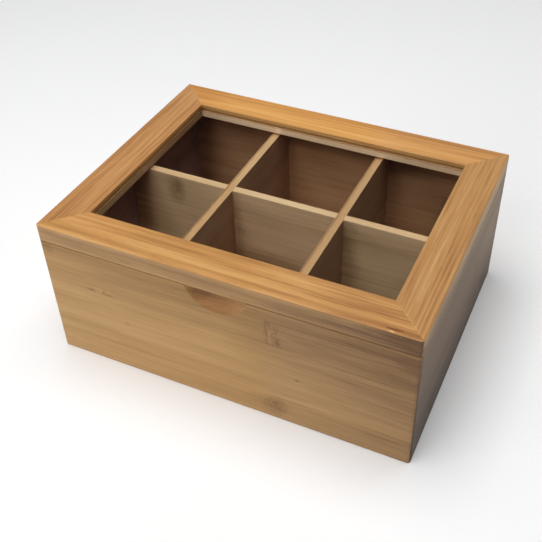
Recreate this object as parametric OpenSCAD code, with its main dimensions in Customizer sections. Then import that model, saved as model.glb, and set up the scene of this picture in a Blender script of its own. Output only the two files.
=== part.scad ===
// Tea bag organizer box: a mitred case with six equal compartments under a
// hinged lid. Beads hold a clear pane in the lid's mitred frame. Millimetres,
// +Z up. The origin is the centre of the underside, and the front faces -Y.

/* [Case] */
// Width of the closed box along X
case_w = 215; // [180:1:300]
// Depth of the closed box along Y
case_d = 165; // [140:1:240]
// Height of the closed box
case_h = 91; // [60:1:140]
// Thickness of the four walls
wall_t = 7; // [6.5:0.5:10]
// Thickness of the bottom panel
bottom_t = 4; // [3:0.5:6]
// Width of the rabbet that the bottom panel lies in
rabbet_w = 3.5; // [2:0.5:4.5]

/* [Lid] */
// Thickness of the lid frame
lid_t = 10.7; // [10:0.1:16]
// Width of the lid frame's rails
rail_w = 21; // [16:0.5:30]
// Running gap between the lid and the rim of the case
seam_gap = 0.3; // [0.2:0.05:0.5]
// Thickness of the clear pane
pane_t = 2; // [1.5:0.1:3]
// Thickness of the rails' lip over the pane's edge
lip_t = 2.6; // [2:0.1:3]
// Depth of the pane's top face below the lid's top face
pane_drop = 3.5; // [3:0.1:3.5]
// Width of the rabbet in the rails' underside that the pane lies in
pane_rabbet_w = 4; // [3:0.5:6]
// Height of the beads that hold the pane in its rabbet
bead_h = 4.2; // [2:0.1:4.3]

/* [Compartments] */
// Thickness of the dividers
divider_t = 4.8; // [3:0.2:6]
// Depth of the housings that hold the dividers' ends
dado_d = 1.5; // [1:0.25:2.5]

/* [Thumb notch] */
// Radius of the notch's outline on the front face
notch_r = 19; // [12:1:21]
// Height of the outline's centre above the rim
notch_rise = 5.7; // [2:0.1:8]
// Radius of the ball-shaped scoop
scoop_r = 42; // [40:1:60]

/* [Edges] */
// Radius on the upright corners
corner_r = 2; // [1:0.1:3]
// Radius along the underside's outer edges and the lid's top outer edges
outer_edge_r = 1; // [0.5:0.1:1.5]
// Radius along the seam and the window opening
inner_edge_r = 0.5; // [0.2:0.1:0.8]

/* [Hinges] */
// Distance of each hinge's middle from the centre line
hinge_x = 62; // [40:1:66]
// Length of a hinge along its pin
hinge_l = 25; // [20:1:30]
// Thickness of the leaves
leaf_t = 1; // [0.8:0.1:1.2]
// Width of a leaf, from its inner edge to the back face
leaf_w = 6; // [5:0.25:6.25]
// Outer radius of the knuckles
knuckle_r = 2; // [1.8:0.1:2.4]
// Length of the middle knuckle
middle_knuckle_l = 9.2; // [7:0.1:11]
// Radius of the pin
pin_r = 0.9; // [0.7:0.1:1]
// Radial running clearance of the lid's knuckle on the pin
pin_clearance = 0.05; // [0.02:0.01:0.1]
// Angle at which the stop tail lands on the back panel
open_angle = 100; // [92:1:110]
// Length of the stop tail from the hinge axis
tail_l = 4; // [3:0.5:5]
// Distance of each screw from the hinge's middle
screw_x = 8; // [6:0.5:9]
// Length of the screws
screw_l = 8; // [6:0.5:9]
// Radius of the screws' shanks
screw_r = 0.9; // [0.7:0.1:1]
// Radius of the screws' countersunk heads
screw_head_r = 1.7; // [1.4:0.1:2]

/* [Hidden] */
$fn = 64;

// Gap between parts that move past each other
slip = 0.3;
// Gap left between the stop tail and the back panel at the open limit
stop_gap = 0.1;
// Overrun of cuts past the face they open on
over = 1;

rim_z = case_h - lid_t - seam_gap;
lid_z = case_h - lid_t;
inner_w = case_w - 2 * wall_t;
inner_d = case_d - 2 * wall_t;

cell_w = (inner_w - 2 * divider_t) / 3;
cross_x = (cell_w + divider_t) / 2;
lap_z = (bottom_t + rim_z) / 2;

pane_z = case_h - pane_drop - pane_t;
pane_edge_gap = 0.4;
pane_rabbet_y = rail_w - pane_rabbet_w;
bead_edge_r = 0.3;
key_t = 2;
key_l = 0.6 * pane_rabbet_y;
key_w = 0.45 * pane_rabbet_y;
key_z = lid_z + (lid_t - key_t) / 2;

hinge_y = case_d / 2 + slip + knuckle_r;
hinge_z = rim_z + seam_gap / 2;
screw_y = case_d / 2 - leaf_w / 2 - 0.2;
tail_t = 1;
tail_root = 0.5;
head_h = 0.8;
slot_w = 0.4;
slot_d = 0.5;

sides = ["front", "right", "back", "left"];

bamboo = [0.76, 0.58, 0.36];
pale_bamboo = [0.83, 0.69, 0.49];
glass = [0.80, 0.86, 0.86, 0.35];
steel = [0.72, 0.70, 0.66];

// Length along a side's outer face
function side_length(side) = side == "front" || side == "back" ? case_w : case_d;

// Quarter-round cutter for the corner at the origin of a plane's first quarter
module arris_cut(r) {
    difference() {
        translate([-over, -over]) square(r + over);
        translate([r, r]) circle(r = r);
    }
}

// Rectangle from the origin whose corners have their own radii, in the order
// outer bottom, inner bottom, inner top, outer top
module eased_rect(w, h, radii) {
    difference() {
        square([w, h]);
        arris_cut(radii[0]);
        translate([w, 0]) mirror([1, 0]) arris_cut(radii[1]);
        translate([w, h]) rotate(180) arris_cut(radii[2]);
        translate([0, h]) mirror([0, 1]) arris_cut(radii[3]);
    }
}

// Places what is drawn along X, with its outer face on y = 0, on one side
module at_side(side) {
    turn = 90 * search([side], sides)[0];
    reach = side == "front" || side == "back" ? case_d / 2 : case_w / 2;
    rotate([0, 0, turn]) translate([0, -reach, 0]) children();
}

// Bar with mitred ends whose cross-section is the 2-D child: x is the distance
// in from the outer face, and y is the height
module mitred_bar(length, width, height) {
    intersection() {
        translate([-length / 2, 0, 0])
            rotate([90, 0, 90])
                linear_extrude(height = length) children();
        linear_extrude(height = height)
            polygon([
                [-length / 2, 0], [length / 2, 0],
                [length / 2 - width, width], [width - length / 2, width]
            ]);
    }
}

// What is cut away to round the four upright corners
module upright_corner_cuts() {
    for (sx = [-1, 1], sy = [-1, 1])
        translate([sx * (case_w / 2 - corner_r), sy * (case_d / 2 - corner_r), -over])
            difference() {
                translate([sx > 0 ? 0 : -corner_r - over, sy > 0 ? 0 : -corner_r - over, 0])
                    cube([corner_r + over, corner_r + over, case_h + 2 * over]);
                translate([0, 0, -over])
                    cylinder(r = corner_r, h = case_h + 4 * over);
            }
}

// One wall of the case, with the rabbet for the bottom panel
module wall(side) {
    radii = [outer_edge_r, inner_edge_r, inner_edge_r, inner_edge_r];
    difference() {
        at_side(side)
            mitred_bar(side_length(side), wall_t, rim_z)
                difference() {
                    eased_rect(wall_t, rim_z, radii);
                    translate([wall_t - rabbet_w, -over])
                        square([rabbet_w + over, bottom_t + over]);
                }
        upright_corner_cuts();
    }
}

// Housing in a wall's inner face for the end of a divider
module dado(side, offset_x) {
    at_side(side)
        translate([offset_x - divider_t / 2, wall_t - dado_d, bottom_t])
            cube([divider_t, dado_d + over, rim_z]);
}

// Places its children at both hinges
module at_hinges() {
    for (sx = [-1, 1]) translate([sx * hinge_x, 0, 0]) children();
}

// Leaf as it lies in its recess, with its underside at z = 0
module leaf_plate() {
    translate([-hinge_l / 2, case_d / 2 - leaf_w, 0]) cube([hinge_l, leaf_w, leaf_t]);
}

// What is cut away for a leaf, open to the back, from z upwards
module leaf_recess(z) {
    translate([-hinge_l / 2, case_d / 2 - leaf_w, z])
        cube([hinge_l, leaf_w + over, leaf_t + over]);
}

// Countersunk screw pointing down, with its head's face at the origin
module screw() {
    difference() {
        rotate_extrude()
            polygon([
                [0, 0], [screw_head_r, 0], [screw_r, -head_h],
                [screw_r, -screw_l + 2 * screw_r], [0, -screw_l]
            ]);
        for (turn = [0, 90])
            rotate([0, 0, turn])
                translate([-screw_head_r * 0.6, -slot_w / 2, -slot_d])
                    cube([screw_head_r * 1.2, slot_w, slot_d + over]);
    }
}

// Outline of a screw with no slots, which the wood and the leaves are cut to
module screw_hole() {
    rotate_extrude()
        polygon([
            [0, over], [screw_head_r, over], [screw_head_r, 0], [screw_r, -head_h],
            [screw_r, -screw_l + 2 * screw_r], [0, -screw_l]
        ]);
}

// Places its children at the box leaf's two screws, pointing down
module at_box_screws() {
    for (sx = [-1, 1]) translate([sx * screw_x, screw_y, rim_z]) children();
}

// Places its children at the lid leaf's two screws, pointing up
module at_lid_screws() {
    for (sx = [-1, 1])
        translate([sx * screw_x, screw_y, lid_z]) rotate([180, 0, 0]) children();
}

// Part of the knuckles between two places along the pin
module knuckle(x0, x1) {
    translate([x0, hinge_y, hinge_z]) rotate([0, 90, 0]) cylinder(r = knuckle_r, h = x1 - x0);
}

// Bore along the whole hinge
module knuckle_bore(r) {
    translate([-hinge_l, hinge_y, hinge_z]) rotate([0, 90, 0]) cylinder(r = r, h = 2 * hinge_l);
}

// Hinge leaf in the rim of the case, with the two outer knuckles
module box_leaf() {
    outer_l = (hinge_l - middle_knuckle_l) / 2 - slip;
    difference() {
        union() {
            translate([0, 0, rim_z - leaf_t]) leaf_plate();
            for (x0 = [-hinge_l / 2, hinge_l / 2 - outer_l]) {
                knuckle(x0, x0 + outer_l);
                translate([x0, case_d / 2 - over, rim_z - leaf_t])
                    cube([outer_l, hinge_y - case_d / 2 + over, leaf_t]);
            }
        }
        knuckle_bore(pin_r);
        at_box_screws() screw_hole();
    }
}

// Hinge leaf in the underside of the lid, with the middle knuckle and the tail
// that stops the lid when it is open
module lid_leaf() {
    tail_face = hinge_y - case_d / 2 - stop_gap;
    difference() {
        union() {
            translate([0, 0, lid_z]) leaf_plate();
            knuckle(-middle_knuckle_l / 2, middle_knuckle_l / 2);
            translate([-middle_knuckle_l / 2, case_d / 2 - over, lid_z])
                cube([middle_knuckle_l, hinge_y - case_d / 2 + over, leaf_t]);
            translate([-middle_knuckle_l / 2, hinge_y, hinge_z])
                rotate([open_angle - 90, 0, 0])
                    translate([0, tail_root, -tail_face])
                        cube([middle_knuckle_l, tail_l - tail_root, tail_t]);
        }
        knuckle_bore(pin_r + pin_clearance);
        at_lid_screws() screw_hole();
    }
}

// Hinge pin, as long as the barrel
module pin() {
    translate([-hinge_l / 2, hinge_y, hinge_z])
        rotate([0, 90, 0])
            cylinder(r = pin_r, h = hinge_l);
}

// Plain rail of the lid frame, with the rabbet for the pane
module rail(side) {
    radii = [inner_edge_r, inner_edge_r, inner_edge_r, outer_edge_r];
    difference() {
        at_side(side)
            translate([0, 0, lid_z])
                mitred_bar(side_length(side), rail_w, lid_t)
                    difference() {
                        eased_rect(rail_w, lid_t, radii);
                        translate([pane_rabbet_y, -over])
                            square([pane_rabbet_w + over, lid_t - lip_t + over]);
                    }
        upright_corner_cuts();
        lid_corner_keys();
    }
}

// Bead under one edge of the pane, flush with the rail's inner face
module pane_bead(side) {
    radii = [bead_edge_r, bead_edge_r, bead_edge_r, bead_edge_r];
    color(pale_bamboo)
        at_side(side)
            translate([0, pane_rabbet_y, pane_z - bead_h])
                mitred_bar(side_length(side) - 2 * pane_rabbet_y, pane_rabbet_w, bead_h)
                    eased_rect(pane_rabbet_w, bead_h, radii);
}

// Flat keys glued across the lid frame's four mitres, out of sight
module lid_corner_keys() {
    key_x = (case_w - pane_rabbet_y) / 2;
    key_y = (case_d - pane_rabbet_y) / 2;
    color(pale_bamboo)
        for (sx = [-1, 1], sy = [-1, 1])
            translate([sx * key_x, sy * key_y, key_z])
                rotate([0, 0, sx * sy * 45])
                    translate([-key_l / 2, -key_w / 2, 0])
                        cube([key_l, key_w, key_t]);
}

module front_panel() {
    scoop_y = -case_d / 2 - sqrt(scoop_r * scoop_r - notch_r * notch_r);
    color(bamboo)
        difference() {
            wall("front");
            for (sx = [-1, 1]) dado("front", sx * cross_x);
            translate([0, scoop_y, rim_z + notch_rise]) sphere(r = scoop_r);
        }
}

module back_panel() {
    color(bamboo)
        difference() {
            wall("back");
            for (sx = [-1, 1]) dado("back", sx * cross_x);
            at_hinges() {
                leaf_recess(rim_z - leaf_t);
                at_box_screws() screw_hole();
            }
        }
}

module left_panel() {
    color(bamboo)
        difference() {
            wall("left");
            dado("left", 0);
        }
}

module right_panel() {
    color(bamboo)
        difference() {
            wall("right");
            dado("right", 0);
        }
}

module bottom_panel() {
    w = inner_w + 2 * rabbet_w;
    d = inner_d + 2 * rabbet_w;
    color(bamboo) translate([-w / 2, -d / 2, 0]) cube([w, d, bottom_t]);
}

module long_divider() {
    l = inner_w + 2 * dado_d;
    color(pale_bamboo)
        difference() {
            translate([-l / 2, -divider_t / 2, bottom_t])
                cube([l, divider_t, rim_z - bottom_t]);
            for (sx = [-1, 1])
                translate([sx * cross_x - divider_t / 2, -divider_t, lap_z])
                    cube([divider_t, 2 * divider_t, rim_z]);
        }
}

// Divider from front to back, lapped over the long divider, at a place along X
module cross_divider(x) {
    l = inner_d + 2 * dado_d;
    color(pale_bamboo)
        translate([x, 0, 0])
            difference() {
                translate([-divider_t / 2, -l / 2, bottom_t])
                    cube([divider_t, l, rim_z - bottom_t]);
                translate([-divider_t, -divider_t / 2, bottom_t - over])
                    cube([2 * divider_t, divider_t, lap_z - bottom_t + over]);
            }
}

module lid_back_rail() {
    color(bamboo)
        difference() {
            rail("back");
            at_hinges() {
                leaf_recess(lid_z - over);
                at_lid_screws() screw_hole();
            }
        }
}

module window_pane() {
    w = case_w - 2 * pane_rabbet_y - 2 * pane_edge_gap;
    d = case_d - 2 * pane_rabbet_y - 2 * pane_edge_gap;
    color(glass) translate([-w / 2, -d / 2, pane_z]) cube([w, d, pane_t]);
}

module left_cross_divider() {
    cross_divider(-cross_x);
}

module right_cross_divider() {
    cross_divider(cross_x);
}

module lid_front_rail() {
    color(bamboo) rail("front");
}

module lid_left_rail() {
    color(bamboo) rail("left");
}

module lid_right_rail() {
    color(bamboo) rail("right");
}

module front_pane_bead() {
    pane_bead("front");
}

module back_pane_bead() {
    pane_bead("back");
}

module left_pane_bead() {
    pane_bead("left");
}

module right_pane_bead() {
    pane_bead("right");
}

module left_hinge_box_leaf() {
    color(steel) translate([-hinge_x, 0, 0]) box_leaf();
}

module right_hinge_box_leaf() {
    color(steel) translate([hinge_x, 0, 0]) box_leaf();
}

module left_hinge_lid_leaf() {
    color(steel) translate([-hinge_x, 0, 0]) lid_leaf();
}

module right_hinge_lid_leaf() {
    color(steel) translate([hinge_x, 0, 0]) lid_leaf();
}

module left_hinge_pin() {
    color(steel) translate([-hinge_x, 0, 0]) pin();
}

module right_hinge_pin() {
    color(steel) translate([hinge_x, 0, 0]) pin();
}

module box_hinge_screws() {
    color(steel) at_hinges() at_box_screws() screw();
}

module lid_hinge_screws() {
    color(steel) at_hinges() at_lid_screws() screw();
}

front_panel();
back_panel();
left_panel();
right_panel();
bottom_panel();
long_divider();
left_cross_divider();
right_cross_divider();
left_hinge_box_leaf();
right_hinge_box_leaf();
left_hinge_pin();
right_hinge_pin();
box_hinge_screws();
lid_front_rail();
lid_back_rail();
lid_left_rail();
lid_right_rail();
window_pane();
lid_corner_keys();
front_pane_bead();
back_pane_bead();
left_pane_bead();
right_pane_bead();
left_hinge_lid_leaf();
right_hinge_lid_leaf();
lid_hinge_screws();
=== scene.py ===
"""Looks of the tea bag organizer box: bamboo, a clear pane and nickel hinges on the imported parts."""

import math
from typing import NamedTuple

import bpy
from mathutils import Matrix, Vector


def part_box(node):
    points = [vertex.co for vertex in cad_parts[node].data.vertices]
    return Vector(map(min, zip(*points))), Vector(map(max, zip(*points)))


MM = 0.001
X, Y, Z = 0, 1, 2

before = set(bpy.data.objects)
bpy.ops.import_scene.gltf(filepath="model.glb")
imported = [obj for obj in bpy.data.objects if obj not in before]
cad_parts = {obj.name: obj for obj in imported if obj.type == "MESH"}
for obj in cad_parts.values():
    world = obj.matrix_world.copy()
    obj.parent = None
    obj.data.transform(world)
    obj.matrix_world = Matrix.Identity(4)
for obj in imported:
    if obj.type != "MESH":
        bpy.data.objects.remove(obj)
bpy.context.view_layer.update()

# The case's front left bottom corner, which every place in the grain is measured from
CORNER = Vector(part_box("front_panel")[0])


def linear(red, green, blue):
    """A colour from its sRGB values of 0 to 255, as linear red, green, blue and alpha."""
    shares = [c / 255 for c in (red, green, blue)]
    return (*[s / 12.92 if s <= 0.04045 else ((s + 0.055) / 1.055) ** 2.4 for s in shares], 1.0)


class Graph:
    """A material's node tree, with short calls for the maths that it is made of."""

    def __init__(self, name):
        self.material = bpy.data.materials.new(name)
        self.material.use_nodes = True
        self.tree = self.material.node_tree
        self.tree.nodes.clear()

    def put(self, socket, value):
        """Feeds a socket from another socket, or sets it."""
        if isinstance(value, bpy.types.NodeSocket):
            self.tree.links.new(value, socket)
        elif value is not None:
            socket.default_value = value

    def node(self, kind, settings=None, **inputs):
        """A node with some of its settings and inputs, whose names have _ for each space."""
        made = self.tree.nodes.new(kind)
        for key, value in (settings or {}).items():
            setattr(made, key, value)
        for key, value in inputs.items():
            self.put(made.inputs[key.replace("_", " ")], value)
        return made

    def math(self, operation, a, b=None, c=None):
        made = self.tree.nodes.new("ShaderNodeMath")
        made.operation = operation
        for socket, value in zip(made.inputs, (a, b, c)):
            self.put(socket, value)
        return made.outputs[0]

    def add(self, a, b):
        return self.math("ADD", a, b)

    def times(self, a, b):
        return self.math("MULTIPLY", a, b)

    def plus(self, total, value, share):
        """Total plus a share of value."""
        return self.math("MULTIPLY_ADD", value, share, total)

    def vector(self, x, y, z):
        return self.node("ShaderNodeCombineXYZ", X=x, Y=y, Z=z).outputs[0]

    def ramp(self, value, start, end, at_start=0.0, at_end=1.0):
        """Goes smoothly from one number to another as value goes from start to end."""
        made = self.node("ShaderNodeMapRange", {"interpolation_type": "SMOOTHSTEP"}, Value=value)
        for name, number in [("From Min", start), ("From Max", end), ("To Min", at_start),
                             ("To Max", at_end)]:
            self.put(made.inputs[name], number)
        return made.outputs[0]

    def noise(self, x, y, z, detail=2.0, roughness=0.5):
        """Noise of -0.5 to 0.5, with grains about 1 unit wide in the coordinates given."""
        made = self.node("ShaderNodeTexNoise", Vector=self.vector(x, y, z), Scale=1.0)
        self.put(made.inputs["Detail"], detail)
        self.put(made.inputs["Roughness"], roughness)
        return self.add(made.outputs["Fac"], -0.5)

    def random(self, value, seed):
        """A steady random number from 0 to 1 for each whole number."""
        made = self.node("ShaderNodeTexWhiteNoise", {"noise_dimensions": "2D"})
        self.put(made.inputs["Vector"], self.vector(value, seed, 0.0))
        return made.outputs["Value"]

    def mix(self, share, a, b):
        made = self.node("ShaderNodeMix", {"data_type": "RGBA"})
        for index, value in [(0, share), (6, a), (7, b)]:
            self.put(made.inputs[index], value)
        return made.outputs[2]

    def colours(self, value, stops):
        """A colour ramp with stops of (place, colour)."""
        made = self.node("ShaderNodeValToRGB", Fac=value)
        elements = made.color_ramp.elements
        while len(elements) < len(stops):
            elements.new(0.5)
        for element, (place, colour) in zip(elements, stops):
            element.position = place
            element.color = colour
        return made.outputs["Color"]

    def finish(self, shader):
        self.node("ShaderNodeOutputMaterial", Surface=shader)
        return self.material


class Tones(NamedTuple):
    """A bamboo face's colours from dark to light, where its grain comes from the rest of the piece."""

    dark: tuple
    middle: tuple
    light: tuple


class Wood(NamedTuple):
    """One kind of bamboo: its colours from dark to light, how strongly each scale of its grain shows,
    and the length of its streaks in mm."""

    dark: tuple
    middle: tuple
    light: tuple
    lanes: float
    broad: float
    streaks: float
    fibres: float
    length: float = 100.0


def tinted(wood, red, green, blue):
    """The same bamboo with shares of its red, green and blue: another board's tone, and on many faces a
    lighter or darker copy that paints the light or shade on them.
    """
    tones = [(c[0] * red, c[1] * green, c[2] * blue, 1.0) for c in wood[:3]]
    return wood._replace(dark=tones[0], middle=tones[1], light=tones[2])


class Mark(NamedTuple):
    """A soft oval added to the wood's tone, for marks in the grain and for painted light and shade: its
    middle, length and width in mm, how much lighter it is, and its turn in degrees."""

    along: float
    across: float
    length: float
    width: float
    tone: float
    turn: float = 0.0


class Knot(NamedTuple):
    """A ragged patch where fibres twist round a joint: its middle, length and width in mm, its turn in
    degrees, how strongly its twists show and how much darker it is."""

    along: float
    across: float
    length: float
    width: float
    turn: float
    twist: float
    dark: float


class Grain(NamedTuple):
    """How a piece's bamboo runs: the axis of its fibres, the axis across its strips and their width."""

    along: int
    across: int
    strip: float
    seed: float


def corner_millimetres(graph):
    """The part's own coordinates as three sockets, in millimetres from the case's corner."""
    place = graph.node("ShaderNodeTexCoord").outputs["Object"]
    moved = graph.node("ShaderNodeVectorMath", {"operation": "SUBTRACT"})
    graph.put(moved.inputs[0], place)
    moved.inputs[1].default_value = CORNER
    scaled = graph.node("ShaderNodeVectorMath", {"operation": "SCALE"}, Scale=1 / MM)
    graph.put(scaled.inputs[0], moved.outputs[0])
    return graph.node("ShaderNodeSeparateXYZ", Vector=scaled.outputs[0]).outputs


def oval(g, along, across, mark):
    """1 in the middle of a mark, falling to 0 at its outline."""
    place = g.node("ShaderNodeMapping", {"vector_type": "TEXTURE"}, Vector=g.vector(along, across, 0.0))
    place.inputs["Location"].default_value = (mark.along, mark.across, 0.0)
    place.inputs["Rotation"].default_value = (0.0, 0.0, math.radians(mark.turn))
    place.inputs["Scale"].default_value = (mark.length / 2, mark.width / 2, 1.0)
    reach = g.node("ShaderNodeVectorMath", {"operation": "LENGTH"})
    g.put(reach.inputs[0], place.outputs[0])
    return g.ramp(reach.outputs["Value"], 0.2, 1.15, 1.0, 0.0)


def marked(g, shade, along, across, marks):
    """A shade with the marks added, whose outlines wander a little."""
    if not marks:
        return shade
    wander = g.noise(g.times(along, 0.18), g.times(across, 0.5), 0.0)
    across = g.plus(across, wander, 1.2)
    for mark in marks:
        shade = g.plus(shade, oval(g, along, across, mark), mark.tone)
    return shade


def knotted(g, shade, along, across, knots):
    """A shade with the knots added."""
    for knot in knots:
        bend = g.noise(g.times(along, 0.16), g.times(across, 0.16), knot.along)
        twist = g.noise(g.plus(g.times(along, 0.6), bend, 3.0), g.plus(g.times(across, 0.22), bend, 2.0),
                        knot.across, 3.0)
        patch = oval(g, along, across, knot)
        shade = g.plus(shade, patch, g.plus(-knot.dark, twist, knot.twist))
    return shade


def knuckles(g, along, across, depth, fibre):
    """The bamboo's joints: a ragged dark band across each strip, with a wider faint one round it."""
    ragged = g.noise(g.times(along, 0.25), g.times(across, 0.6), g.times(depth, 0.6), 3.0)
    place = g.math("WRAP", g.plus(along, ragged, 7.0), JOINT_SPACING / 2, -JOINT_SPACING / 2)
    distance = g.math("ABSOLUTE", place)
    band = g.ramp(distance, 0.4, 3.0, 1.0, 0.0)
    halo = g.ramp(distance, 2.0, 16.0, 1.0, 0.0)
    band = g.times(band, g.plus(0.12, fibre, 0.4))
    return g.plus(band, halo, 0.035)


def grain_shade(g, place, grain, wood, joints):
    """The tone of the bamboo at each point, around 0.5, and the fibres alone."""
    depth_axis = X + Y + Z - grain.along - grain.across
    u, v, w = place[grain.along], place[grain.across], place[depth_axis]
    lane = g.math("FLOOR", g.math("DIVIDE", v, grain.strip))
    u = g.plus(u, g.random(lane, grain.seed + 7.0), 900.0)
    sway = g.noise(g.times(u, 0.012), g.times(v, 0.05), g.times(w, 0.05))
    v_sway = g.plus(v, sway, 4.0)
    tone = g.add(g.random(lane, grain.seed), -0.5)
    broad = g.noise(g.times(u, 0.007), g.times(v_sway, 0.11), g.add(g.times(w, 0.11), grain.seed))
    streak = g.noise(g.times(u, 1 / wood.length), g.times(v_sway, 0.7), g.times(w, 0.7), 3.0, 0.6)
    fibre = g.noise(g.times(u, 0.05), g.times(v_sway, 3.0), g.times(w, 3.0), 2.0, 0.6)
    shade = g.plus(0.5, tone, wood.lanes)
    for part, share in [(broad, wood.broad), (streak, wood.streaks), (fibre, wood.fibres)]:
        shade = g.plus(shade, part, share)
    if joints:
        shade = g.plus(shade, knuckles(g, u, v, w, fibre), -joints)
    return shade, fibre


def wood_colour(g, shade, wood):
    return g.colours(shade, [(0.0, wood.dark), (0.5, wood.middle), (1.0, wood.light)])


def greyer_right_painted_shade(g, colour, x, kept):
    """Painted shade: a colour that keeps only a share of its warmth towards the box's right end, where the
    light falls off.
    """
    saturation = g.ramp(x, *GREYER_SPAN, 1.0, kept)
    return g.node("ShaderNodeHueSaturation", Saturation=saturation, Color=colour).outputs[0]


def satin(g, colour, fibre):
    """Oiled and sanded bamboo, whose fibres stand up very slightly."""
    bump = g.node("ShaderNodeBump", Strength=0.3, Distance=FIBRE_HEIGHT, Height=fibre)
    shader = g.node("ShaderNodeBsdfPrincipled", Base_Color=colour, Roughness=g.plus(0.5, fibre, 0.16),
                    IOR=OIL_IOR, Normal=bump.outputs[0])
    shader.inputs["Specular IOR Level"].default_value = 0.3
    return shader.outputs[0]


def bamboo(name, grain, wood, marks=()):
    """Bamboo boards glued side by side."""
    g = Graph(name)
    place = corner_millimetres(g)
    shade, fibre = grain_shade(g, place, grain, wood, CASE_JOINTS)
    shade = marked(g, shade, place[grain.along], place[grain.across], marks)
    return g.finish(satin(g, wood_colour(g, shade, wood), fibre))


def wall_bamboo(name, grain, wood, inner_wood, inner_marks, outer_face):
    """A wall of the case, whose inner face has its own colour and marks, which paint the light and shade
    inside the cells. The outer face's place is in mm.
    """
    g = Graph(name)
    place = corner_millimetres(g)
    shade, fibre = grain_shade(g, place, grain, wood, CASE_JOINTS)
    inner_shade = marked(g, shade, place[grain.along], place[grain.across], inner_marks)
    depth = place[X + Y + Z - grain.along - grain.across]
    inside = g.ramp(g.math("ABSOLUTE", g.add(depth, -outer_face)), 3.0, 6.0)
    colour = g.mix(inside, wood_colour(g, shade, wood), wood_colour(g, inner_shade, inner_wood))
    return g.finish(satin(g, colour, fibre))


def edged_bamboo(name, grain, wood, edge, edge_grain, outward=1.0, marks=(), edge_marks=(), knots=(),
                 inner_wood=None, kept=1.0):
    """Bamboo whose outward face is an edge with its own tones and marks and a share of the grain. Where there
    is an inner wood, the opposite face shows it: a lighter copy of the wood that paints light on that face."""
    g = Graph(name)
    place = corner_millimetres(g)
    shade, fibre = grain_shade(g, place, grain, wood, EDGED_JOINTS)
    top = marked(g, shade, place[grain.along], place[grain.across], marks)
    top = knotted(g, top, place[grain.along], place[grain.across], knots)
    edge_shade = g.plus(0.5, g.add(shade, -0.5), edge_grain)
    edge_across = X + Y - grain.along if grain.across == Z else Z
    edge_shade = marked(g, edge_shade, place[grain.along], place[edge_across], edge_marks)
    normal = g.node("ShaderNodeSeparateXYZ", Vector=g.node("ShaderNodeTexCoord").outputs["Normal"])
    facing = g.times(normal.outputs[grain.across], outward)
    colour = greyer_right_painted_shade(g, wood_colour(g, top, wood), place[X], kept)
    if inner_wood:
        colour = g.mix(g.ramp(facing, -0.95, -0.75, 1.0, 0.0), colour, wood_colour(g, top, inner_wood))
    edge_colour = greyer_right_painted_shade(g, wood_colour(g, edge_shade, edge), place[X], EDGE_KEPT)
    if grain.across == Z:
        outer = g.ramp(facing, 0.75, 0.95)
    else:
        upright = g.ramp(g.math("ABSOLUTE", normal.outputs[Z]), 0.3, 0.6, 1.0, 0.0)
        outer = g.times(g.ramp(facing, 0.1, 0.3), upright)
    colour = g.mix(outer, colour, edge_colour)
    return g.finish(satin(g, colour, fibre))


def notched_bamboo(name, grain, wood, marks, knots, scoop, scoop_marks):
    """The front panel: flat grain outside, and the deeper strips that the scoop of the notch lays bare."""
    g = Graph(name)
    place = corner_millimetres(g)
    shade, fibre = grain_shade(g, place, grain, wood, 0.0)
    outside = knotted(g, marked(g, shade, place[X], place[Z], marks), place[X], place[Z], knots)
    inside = marked(g, shade, place[X], place[Z], scoop_marks)
    behind = g.ramp(place[Y], 0.02, 0.3)
    from_middle = g.math("ABSOLUTE", g.add(place[X], -NOTCH_MIDDLE))
    near = g.ramp(from_middle, NOTCH_HALF, NOTCH_HALF + 0.5, 1.0, 0.0)
    in_front = g.ramp(place[Y], NOTCH_DEPTH, NOTCH_DEPTH + 0.2, 1.0, 0.0)
    above = g.ramp(place[Z], NOTCH_LOW - 0.5, NOTCH_LOW)
    scooped = g.times(g.times(behind, near), g.times(in_front, above))
    face = greyer_right_painted_shade(g, wood_colour(g, outside, wood), place[X], FRONT_KEPT)
    colour = g.mix(scooped, face, wood_colour(g, inside, scoop))
    return g.finish(satin(g, colour, fibre))


def glass(name):
    """Clear pane that lets lamps through."""
    g = Graph(name)
    clear = g.node("ShaderNodeBsdfPrincipled", Base_Color=linear(252, 253, 252), Roughness=0.01, IOR=1.46)
    clear.inputs["Transmission Weight"].default_value = 1.0
    passed = g.node("ShaderNodeBsdfTransparent", Color=linear(250, 252, 250))
    path = g.node("ShaderNodeLightPath")
    share = g.math("MAXIMUM", path.outputs["Is Shadow Ray"], path.outputs["Is Diffuse Ray"])
    both = g.node("ShaderNodeMixShader", Fac=share)
    g.put(both.inputs[1], clear.outputs[0])
    g.put(both.inputs[2], passed.outputs[0])
    return g.finish(both.outputs[0])


def nickel(name):
    g = Graph(name)
    x, y, z = corner_millimetres(g)
    scratch = g.noise(g.times(x, 0.4), g.times(y, 6.0), g.times(z, 6.0), 3.0)
    shader = g.node("ShaderNodeBsdfPrincipled", Base_Color=linear(196, 192, 184), Metallic=1.0,
                    Roughness=g.plus(0.3, scratch, 0.2))
    return g.finish(shader.outputs[0])


# How strongly the joints of the bamboo show on the case's boards and on the lid, dividers and beads, and the
# distance between them along a strip, in mm
CASE_JOINTS = 1.0
EDGED_JOINTS = 0.3
JOINT_SPACING = 240.0
# The height of a fibre over the surface, and the refraction of the oil
FIBRE_HEIGHT = 0.05 * MM
OIL_IOR = 1.46
# Where the front turns greyer, as x in mm, and the share of warmth that its panel and the lid's edges keep
# there: painted shade for the light falling off towards the right end
GREYER_SPAN = (120.0, 150.0)
FRONT_KEPT = 0.955
EDGE_KEPT = 0.98

# The outer faces of the left and back panels, as x and y in mm
LEFT_FACE = 0.0
BACK_FACE = 165.0
# The notch's outline in the front panel, in mm
NOTCH_MIDDLE = 107.5
NOTCH_HALF = 18.6
NOTCH_LOW = 66.8
NOTCH_DEPTH = 4.8

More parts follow.
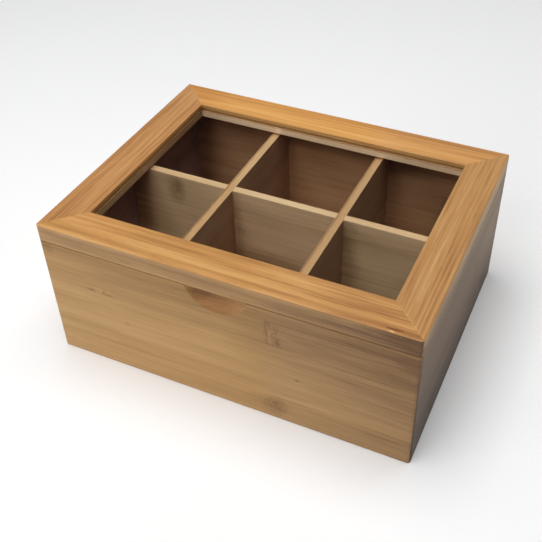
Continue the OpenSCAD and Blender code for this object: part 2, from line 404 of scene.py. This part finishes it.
CASE = Wood(linear(118, 83, 46), linear(190, 148, 94), linear(221, 185, 131), 0.06, 0.52, 0.30, 0.40, 70.0)
SIDE = Wood(linear(108, 80, 54), linear(166, 136, 104), linear(200, 172, 138), 0.12, 0.40, 0.50, 0.30)
SIDE_EDGE = Tones(linear(119, 91, 58), linear(185, 149, 104), linear(218, 181, 128))
LID = Wood(linear(134, 78, 32), linear(206, 150, 84), linear(238, 194, 126), 0.14, 0.70, 0.95, 0.70)
EDGE = Tones(linear(106, 75, 46), linear(175, 136, 90), linear(210, 174, 132))
PALE = Wood(linear(150, 111, 72), linear(221, 182, 138), linear(242, 212, 174), 0.06, 0.30, 0.40, 0.30)
CROSS_TOP = Tones(linear(138, 95, 58), linear(200, 156, 109), linear(230, 190, 148))
DIVIDER = Wood(linear(140, 104, 68), linear(206, 172, 130), linear(232, 202, 160), 0.08, 0.40, 0.60, 0.40)
BEAD = Wood(linear(160, 128, 92), linear(220, 190, 150), linear(240, 216, 180), 0.05, 0.20, 0.20, 0.16)
# The beads' browner tops: painted shade under the rails' lips
BEAD_TOP = Tones(linear(140, 96, 56), linear(214, 160, 104), linear(238, 190, 132))
SCOOP = Tones(linear(96, 62, 32), linear(170, 122, 73), linear(216, 170, 114))

# Marks on the front panel: x and z in mm from the corner. The first two are painted shade: a broad darkening
# towards the right end where the light falls off, and a dark band along the top that is the lid's shadow.
FRONT_MARKS = [
    # Painted shade: darker towards the right end
    Mark(280, 40, 360, 600, -0.30),
    # Painted shadow of the lid's edge along the top of the panel
    Mark(60, 76.4, 900, 9.5, -0.10),
    Mark(60, 66, 900, 36, -0.11),
    Mark(4, 76, 10, 8, -0.12),
    Mark(36, 70, 58, 1.1, -0.09),
    Mark(28.5, 54.6, 6, 1.7, -0.20),
    Mark(39, 54.3, 9, 1.4, -0.20),
    Mark(30, 58.2, 9, 1.6, -0.08),
    Mark(34, 54.5, 36, 1.2, -0.06),
    Mark(48.5, 36.0, 5, 2.6, -0.14),
    Mark(92, 36.3, 90, 1.8, -0.05),
    Mark(75, 25.0, 120, 1.8, -0.07),
    Mark(65, 17.0, 110, 2.4, -0.06),
    Mark(147, 17.3, 34, 1.5, -0.12),
    Mark(139, 10.0, 17, 17, -0.10),
    Mark(151, 35.8, 4, 1.8, -0.22),
    Mark(152, 34.1, 12, 1.0, 0.14),
    Mark(140, 23.6, 48, 1.3, 0.06),
    Mark(138, 21.2, 42, 1.1, 0.05),
    Mark(196, 63.5, 70, 15, 0.05),
    Mark(212, 72, 26, 14, -0.12),
    Mark(148, 58, 40, 6, -0.06),
    Mark(165, 74, 70, 10, 0.04),
    Mark(104, 45, 120, 26, 0.03),
    Mark(133, 49, 56, 30, -0.07),
    Mark(134, 12, 36, 11, -0.07),
    Mark(90, 62, 100, 16, 0.04),
    Mark(107, 2.2, 600, 1.6, 0.10),
    Mark(190, 6, 70, 9, 0.07),
    Mark(180, 55.0, 84, 1.3, -0.13),
    Mark(178, 73.0, 90, 1.2, -0.12),
    Mark(135.0, 71.0, 4.5, 4.0, -0.16),
    Mark(135.2, 70.8, 2.0, 1.6, 0.16),
    Mark(134.4, 63.5, 2.6, 13, -0.11, 3),
    Mark(140.2, 60.0, 4.5, 9, -0.12, 22),
    Mark(136.8, 59.5, 1.5, 9, 0.12, 4),
    Mark(195, 76, 60, 10, -0.08),
]
FRONT_KNOTS = [
    Knot(138, 63, 16, 20, 0, 0.60, 0.04),
    Knot(137, 10, 20, 20, 0, 0.55, 0.05),
    Knot(33, 55.5, 20, 6, 0, 0.60, 0.02),
]
# Marks on the right panel: y and z. Nearly all are painted light and shade: darker towards the bottom and the
# front end, lighter towards the top and the back end, with a lighter band along the top and a darker band
# along the foot; one thin line is in the grain.
SIDE_MARKS = [
    Mark(0, 20, 200, 140, -0.08),
    Mark(40, 30, 300, 60, -0.10),
    Mark(60, 8, 500, 66, -0.17),
    Mark(0, 44, 70, 60, -0.09),
    Mark(150, 52, 80, 50, 0.24),
    Mark(135, 68, 100, 60, 0.13),
    Mark(125, 77, 120, 18, 0.10),
    Mark(12, 86, 70, 16, -0.05),
    Mark(60, 12, 500, 30, -0.06),
    Mark(20, 45, 180, 100, -0.06),
    Mark(120, 80, 260, 30, 0.20),
    Mark(40, 36.0, 300, 1.4, -0.05),
    Mark(100, 82.0, 900, 15.0, 0.24),
    Mark(82, 5.5, 900, 13.0, -0.24),
]
# Painted light and shade on the back panel's inner face, as x and z: darker along the top under the lid's
# back rail, dark bands in the cells' corners and by the cross dividers, and lighter lower down
BACK_LIGHT_AND_SHADE_MARKS = [
    Mark(107, 76, 900, 22, -0.14),
    Mark(150, 66, 28, 40, -0.18),
    Mark(92, 36, 190, 44, 0.14),
    Mark(8, 40, 34, 160, -0.36),
    Mark(76, 40, 12, 160, -0.12),
    Mark(145, 40, 20, 160, -0.16),
    Mark(138, 73, 150, 24, -0.26),
    Mark(178, 48, 60, 60, -0.08),
]
# Marks on the lid's front edge: x and z. The broad darkening towards the right end and the lighter left end
# are painted shade and light where the light falls off, and the lighter band along the top is a painted
# highlight of the arris; the other marks are thin lines and the dark patch by the nick.
LID_EDGE_MARKS = [
    Mark(280, 86, 360, 600, -0.20),
    Mark(224, 86, 64, 60, -0.26),
    Mark(200, 88.4, 44, 6.0, -0.18),
    Mark(198, 84.6, 40, 0.9, -0.10),
    Mark(107, 81.8, 400, 1.0, 0.08),
    Mark(0, 83, 90, 12, 0.14),
    Mark(60, 90, 200, 6, 0.12),
    Mark(165, 82.5, 50, 3.0, 0.14),
]
# Marks on the lid's right edge: y and z. Its darker front end and lighter back end are painted shade and
# light, and the lighter band along its top is a painted highlight of the arris.
SIDE_EDGE_MARKS = [
    Mark(0, 86, 130, 600, -0.25),
    Mark(150, 86, 120, 600, 0.06),
    Mark(125, 82.5, 90, 3.5, 0.14),
    Mark(40, 87, 90, 8.0, -0.08),
    Mark(82, 80.0, 900, 10.0, 0.02),
    Mark(82, 89.5, 900, 9.5, 0.20),
    Mark(82, 83.8, 900, 5.0, -0.14),
]
# Painted light and shade on the notch's scoop, as x and z: darker in its upper left and along its top under
# the lid, lighter to the right and low down where it faces the light
SCOOP_LIGHT_AND_SHADE_MARKS = [
    Mark(97, 76.5, 20, 9, -0.22),
    Mark(110, 80.4, 40, 4.0, -0.16),
    Mark(118, 74.5, 16, 8, 0.08),
    Mark(103, 69.5, 26, 5, 0.08),
]
# Marks on the lid's rails: the place along the rail, then across the lid
LID_FRONT_MARKS = [
    Mark(107, 3.2, 500, 5.0, -0.10),
    Mark(160, 13.6, 80, 1.5, -0.16),
    Mark(158, 10.6, 78, 1.3, -0.16),
    Mark(165, 8.0, 66, 1.2, -0.14),
    Mark(168, 16.6, 56, 1.3, -0.14),
    Mark(190, 13.5, 80, 14, -0.20),
    Mark(195, 8, 130, 600, -0.07),
    Mark(107, 17.5, 500, 4.0, -0.05),
    Mark(57, 12.8, 90, 5.0, 0.05),
    Mark(25, 4.4, 76, 3.4, -0.06),
    Mark(199.5, 2.2, 9, 1.6, -0.60),
    Mark(198.5, 0.9, 3.5, 1.2, 0.50),
    Mark(204.5, 10.5, 32, 0.9, 0.22, -45),
]
LID_BACK_MARKS = [
    Mark(60, 162.0, 320, 5.0, -0.16),
    Mark(107, 152.0, 300, 6.0, 0.05),
    Mark(230, 155.0, 190, 600, -0.13),
    Mark(150, 157.5, 200, 6.0, -0.06),
    Mark(204.5, 154.5, 32, 0.9, 0.12, 45),
    Mark(10.5, 154.5, 32, 0.9, 0.06, -45),
    Mark(8, 154.5, 50, 600, -0.10),
]
LID_LEFT_MARKS = [
    Mark(82, 2.2, 400, 6.0, -0.08),
    Mark(70, 12.6, 110, 1.2, -0.06),
    Mark(72, 15.4, 60, 1.1, -0.06),
    Mark(82, 9.0, 180, 3.0, 0.05),
    Mark(20, 8.0, 70, 600, -0.05),
    Mark(160, 8.0, 50, 600, 0.08),
]
LID_RIGHT_MARKS = [
    Mark(146, 203.6, 38, 2.6, -0.10),
    Mark(80, 206.6, 200, 1.6, -0.10),
    Mark(57, 211.0, 42, 1.2, -0.12),
    Mark(105, 211.2, 38, 1.3, -0.09),
    Mark(82, 201.5, 300, 7.0, 0.03),
    # A painted shadow along the rail's inner arris
    Mark(82, 195.6, 300, 2.2, -0.06),
    Mark(10.5, 204.5, 32, 0.9, 0.16, -45),
]
# A dark line along the top of the beads, painted shade in the crevice under the pane's edge, and their
# lighter and darker lengths: the place along them and z
BEAD_MARKS = [
    Mark(107, 85.2, 900, 0.9, -0.50),
    Mark(74.5, 82, 6, 14, 0.32),
    Mark(142.8, 82, 6, 14, 0.12),
    Mark(174, 82, 64, 30, -0.16),
    Mark(52, 82, 60, 30, 0.12),
]
# Marks on the long divider: x and z. Two mark a knot, the three tall dark bands are painted shade in the
# cells' corners, and a wide band lower down is darker.
DIVIDER_MARKS = [
    Mark(37.0, 70.0, 16, 26, -0.24),
    Mark(39.0, 74.0, 6, 12, -0.12, 4),
    Mark(8, 40, 28, 160, -0.40),
    Mark(76, 40, 12, 160, -0.16),
    Mark(144.5, 40, 22, 160, -0.22),
    Mark(98, 34, 84, 15, -0.34),
]
DIVIDER_KNOTS = [
    Knot(38.0, 71, 13, 22, 0, 0.45, 0.04),
    Knot(81.5, 50, 10, 20, 0, 0.60, 0.04),
]
# The brown arrises and paler lengths of the long divider's top, as x and y, and of the cross dividers' tops,
# as y and x
LONG_ARRISES = [
    Mark(107, 80.0, 900, 1.5, -0.26),
    Mark(107, 85.0, 900, 1.5, -0.20),
    Mark(108, 82.5, 76, 14, 0.18),
]
CROSS_ARRISES = [
    Mark(82, 70.7, 900, 1.8, -0.34),
    Mark(82, 75.7, 900, 1.8, -0.34),
    Mark(82, 139.3, 900, 1.8, -0.34),
    Mark(82, 144.3, 900, 1.8, -0.34),
    Mark(122, 73.2, 88, 16, 0.25),
    Mark(122, 141.8, 88, 16, 0.06),
]


def dress(material, *names):
    for name in names:
        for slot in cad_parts[name].material_slots:
            slot.material = material


def dress_lid():
    # The rails' tints are partly painted light: the back rail is lighter and warmer for the sheen on it, and
    # the side rails darker where less light falls.
    front_wood = tinted(LID, 0.95, 0.97, 1.03)._replace(lanes=0.10, broad=1.30, streaks=0.38, fibres=0.66)
    back_wood = tinted(LID, 1.06, 1.03, 0.96)._replace(lanes=0.08, broad=0.74, streaks=0.48, fibres=0.33)
    left_wood = tinted(LID, 0.83, 0.81, 0.96)._replace(lanes=0.08, broad=0.36, streaks=0.92, fibres=0.78)
    right_wood = tinted(LID, 0.79, 0.81, 0.96)._replace(lanes=0.08, broad=0.44, streaks=0.90, fibres=0.54,
                                                        length=60.0)
    dress(edged_bamboo("lid_front_bamboo", Grain(X, Y, 5.0, 3.0), front_wood, EDGE, 0.87, -1.0,
                       LID_FRONT_MARKS, LID_EDGE_MARKS, kept=0.98), "lid_front_rail")
    dress(edged_bamboo("lid_back_bamboo", Grain(X, Y, 5.0, 4.0), back_wood, EDGE, 1.04, 1.0,
                       LID_BACK_MARKS, inner_wood=tinted(back_wood, 1.04, 1.19, 1.50), kept=0.96),
          "lid_back_rail")
    dress(edged_bamboo("lid_left_bamboo", Grain(Y, X, 5.0, 5.0), left_wood, EDGE, 0.54, -1.0,
                       LID_LEFT_MARKS, inner_wood=tinted(left_wood, 1.22, 1.20, 0.94)), "lid_left_rail")
    dress(edged_bamboo("lid_right_bamboo", Grain(Y, X, 5.0, 6.0), right_wood, SIDE_EDGE, 0.40, 1.0,
                       LID_RIGHT_MARKS, SIDE_EDGE_MARKS), "lid_right_rail")
    dress(bamboo("key_bamboo", Grain(X, Y, 18.0, 8.0), PALE), "lid_corner_keys")
    # The beads along x are a lighter copy and those along y a darker copy of the bead wood, which paints the
    # light and shade on them.
    dress(edged_bamboo("bead_bamboo_x", Grain(X, Z, 20.0, 29.0), tinted(BEAD, 1.38, 1.36, 1.50), BEAD_TOP,
                       1.0, 1.0, BEAD_MARKS), "front_pane_bead", "back_pane_bead")
    dress(edged_bamboo("bead_bamboo_y", Grain(Y, Z, 20.0, 31.0), tinted(BEAD, 0.66, 0.56, 0.54), BEAD_TOP,
                       1.0, 1.0, BEAD_MARKS), "left_pane_bead", "right_pane_bead")
    dress(glass("clear_pane"), "window_pane")


def dress_case():
    back_wood = CASE._replace(streaks=0.38)
    left_wood = tinted(CASE, 0.95, 0.94, 0.95)._replace(streaks=0.50)
    # The right panel's much darker tint paints the shade on the box's right side.
    right_wood = tinted(SIDE, 0.52, 0.46, 0.36)._replace(streaks=0.70)
    # The long divider's wood is a lighter copy and the cross dividers' a darker copy of the divider wood:
    # painted light on the long divider's front face and painted shade on the cross dividers' faces.
    long_wood = tinted(DIVIDER, 1.27, 1.30, 1.45)._replace(streaks=0.42)
    dress(notched_bamboo("front_bamboo", Grain(X, Z, 18.0, 11.0), CASE, FRONT_MARKS, FRONT_KNOTS, SCOOP,
                         SCOOP_LIGHT_AND_SHADE_MARKS), "front_panel")
    dress(wall_bamboo("back_bamboo", Grain(X, Z, 18.0, 12.0), back_wood, tinted(SIDE, 1.35, 1.14, 1.06),
                      BACK_LIGHT_AND_SHADE_MARKS, BACK_FACE), "back_panel")
    # The left panel's inner face is a darker copy of the side wood: painted shade on the cells' left walls.
    dress(wall_bamboo("left_bamboo", Grain(Y, Z, 18.0, 13.0), left_wood, tinted(SIDE, 0.79, 0.72, 1.22), (),
                      LEFT_FACE), "left_panel")
    dress(bamboo("right_bamboo", Grain(Y, Z, 18.0, 14.0), right_wood, SIDE_MARKS), "right_panel")
    dress(bamboo("floor_bamboo", Grain(X, Y, 18.0, 17.0), SIDE), "bottom_panel")
    dress(edged_bamboo("long_divider_bamboo", Grain(X, Z, 20.0, 19.0), long_wood, PALE, 0.67, 1.0,
                       DIVIDER_MARKS, LONG_ARRISES, DIVIDER_KNOTS), "long_divider")
    dress(edged_bamboo("cross_divider_bamboo", Grain(Y, Z, 20.0, 23.0), tinted(DIVIDER, 0.66, 0.57, 0.61),
                       CROSS_TOP, 0.67, edge_marks=CROSS_ARRISES),
          "left_cross_divider", "right_cross_divider")


def dress_hinges():
    dress(nickel("nickel"), *[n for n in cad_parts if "hinge" in n])


def make_floor():
    """A wide pale floor under the box."""
    bpy.ops.mesh.primitive_plane_add(size=6.0)
    floor = bpy.context.object
    floor.name = "floor"
    g = Graph("pale_floor")
    shader = g.node("ShaderNodeBsdfPrincipled", Base_Color=(0.965, 0.968, 0.975, 1.0), Roughness=0.8)
    shader.inputs["Emission Color"].default_value = (1.0, 1.0, 1.0, 1.0)
    shader.inputs["Emission Strength"].default_value = 0.03
    floor.data.materials.append(g.finish(shader.outputs[0]))


def aim(place, target):
    """The rotation of a lamp or camera at place that looks at target."""
    return (Vector(target) - Vector(place)).to_track_quat("-Z", "Y")


class Lamp(NamedTuple):
    """A soft white rectangular lamp that faces the box: its place and size in metres and its power in
    watts."""

    name: str
    place: tuple
    size: tuple
    power: float


# What the lamps face, in metres
BOX_MIDDLE = (0.0, 0.0, 0.05)
LAMPS = [
    Lamp("top", (0.0, 0.0, 1.3), (1.0, 1.0), 10.8),
    Lamp("top_left", (-0.45, 0.0, 1.3), (0.6, 0.8), 2.2),
    Lamp("top_front", (0.0, -0.7, 1.2), (1.2, 0.6), 3.6),
    Lamp("back_left", (-0.8, 1.0, 0.5), (0.8, 0.5), 0.6),
    Lamp("back", (0.3, 1.3, 0.6), (0.9, 0.5), 1.2),
    Lamp("back_right_low", (0.9, 1.0, 0.3), (0.6, 0.4), 1.6),
    Lamp("camera_left", (-0.15, -0.95, 1.0), (0.5, 0.5), 2.3),
    Lamp("left_front_low", (-0.75, -0.8, 0.35), (0.6, 0.5), 2.6),
]


def make_lamp(lamp):
    data = bpy.data.lights.new(lamp.name, "AREA")
    data.shape = "RECTANGLE"
    data.size, data.size_y = lamp.size
    data.energy = lamp.power
    made = bpy.data.objects.new(lamp.name, data)
    made.location = lamp.place
    made.rotation_mode = "QUATERNION"
    made.rotation_quaternion = aim(lamp.place, BOX_MIDDLE)
    bpy.context.scene.collection.objects.link(made)


def make_world(colour, strength):
    """A faint even light from all round."""
    world = bpy.data.worlds.new("studio")
    world.use_nodes = True
    background = world.node_tree.nodes["Background"]
    background.inputs["Color"].default_value = colour
    background.inputs["Strength"].default_value = strength
    bpy.context.scene.world = world


# The photograph's frame and its lens, in pixels, and the camera's place and aim
IMAGE_SIDE = 542
FOCAL_PIXELS = 843.3
AXIS_PIXEL = (295.71, 250.14)
CAMERA_PLACE = (164.37 * MM, -345.19 * MM, 366.25 * MM)
CAMERA_TARGET = (6.67 * MM, 0.0, 47.70 * MM)
CAMERA_ROLL = math.radians(-0.72)


def make_camera():
    data = bpy.data.cameras.new("camera")
    data.lens = FOCAL_PIXELS * data.sensor_width / IMAGE_SIDE
    data.shift_x = (IMAGE_SIDE / 2 - AXIS_PIXEL[0]) / IMAGE_SIDE
    data.shift_y = (AXIS_PIXEL[1] - IMAGE_SIDE / 2) / IMAGE_SIDE
    data.clip_start = 0.01
    camera = bpy.data.objects.new("camera", data)
    camera.location = CAMERA_PLACE
    turn = aim(CAMERA_PLACE, CAMERA_TARGET).to_matrix() @ Matrix.Rotation(CAMERA_ROLL, 3, "Z")
    camera.rotation_mode = "QUATERNION"
    camera.rotation_quaternion = turn.to_quaternion()
    bpy.context.scene.collection.objects.link(camera)
    bpy.context.scene.camera = camera


dress_lid()
dress_case()
dress_hinges()
make_floor()
for lamp in LAMPS:
    make_lamp(lamp)
make_world((0.85, 0.92, 1.0, 1.0), 0.015)
make_camera()
bpy.context.scene.view_settings.view_transform = "Standard"
